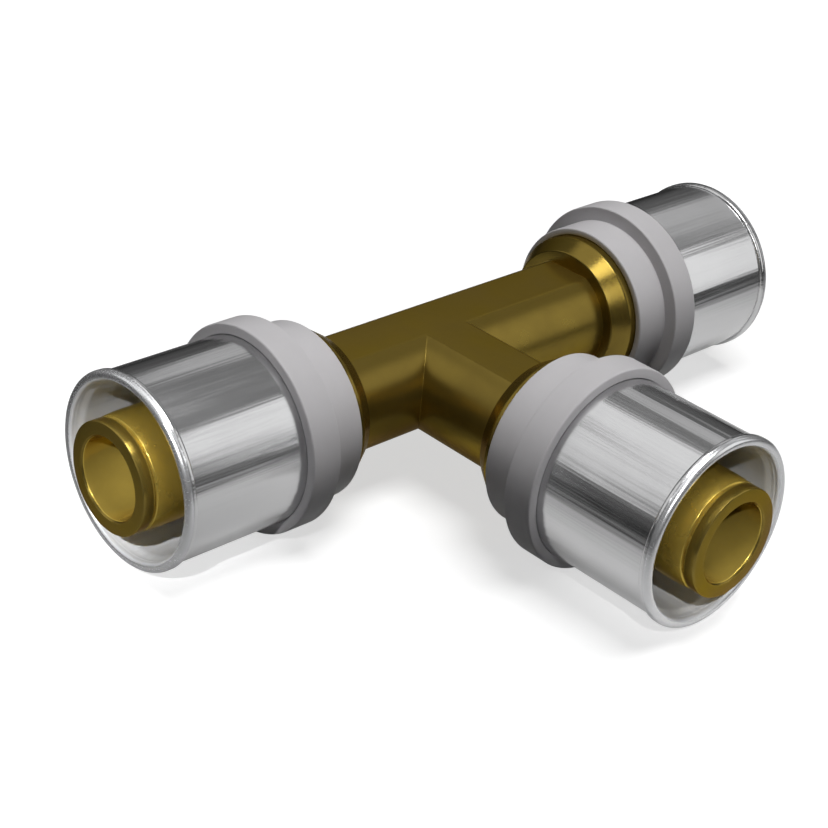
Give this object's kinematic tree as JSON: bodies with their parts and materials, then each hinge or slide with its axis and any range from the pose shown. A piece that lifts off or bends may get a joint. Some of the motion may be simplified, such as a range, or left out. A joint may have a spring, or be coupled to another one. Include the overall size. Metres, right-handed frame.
{
  "type": "pipe tee",
  "caption": "Press-fit pipe tee: brass body with flats and grooved nipples, stepped plastic rings and belled steel press sleeves.",
  "frame": {"origin": "where the axes of the run and the branch cross, inside the body", "axes": "+X along the run to its longer arm, the branch points to -Y, +Z normal to the upper flat"},
  "size_m": [0.0863, 0.0519, 0.0212],
  "materials": {
    "brass_body": "polished, slightly darkened brass",
    "grey_plastic": "satin light grey moulding",
    "polished_steel": "polished stainless steel",
    "black_rubber": "smooth black rubber"
  },
  "bodies": {
    "root": {"tee_body": "brass_body", "ring_left": "grey_plastic", "sleeve_left": "polished_steel", "seal_left_inner": "black_rubber", "seal_left_outer": "black_rubber", "ring_right": "grey_plastic", "sleeve_right": "polished_steel", "seal_right_inner": "black_rubber", "seal_right_outer": "black_rubber", "ring_branch": "grey_plastic", "sleeve_branch": "polished_steel", "seal_branch_inner": "black_rubber", "seal_branch_outer": "black_rubber"}
  },
  "joints": []
}
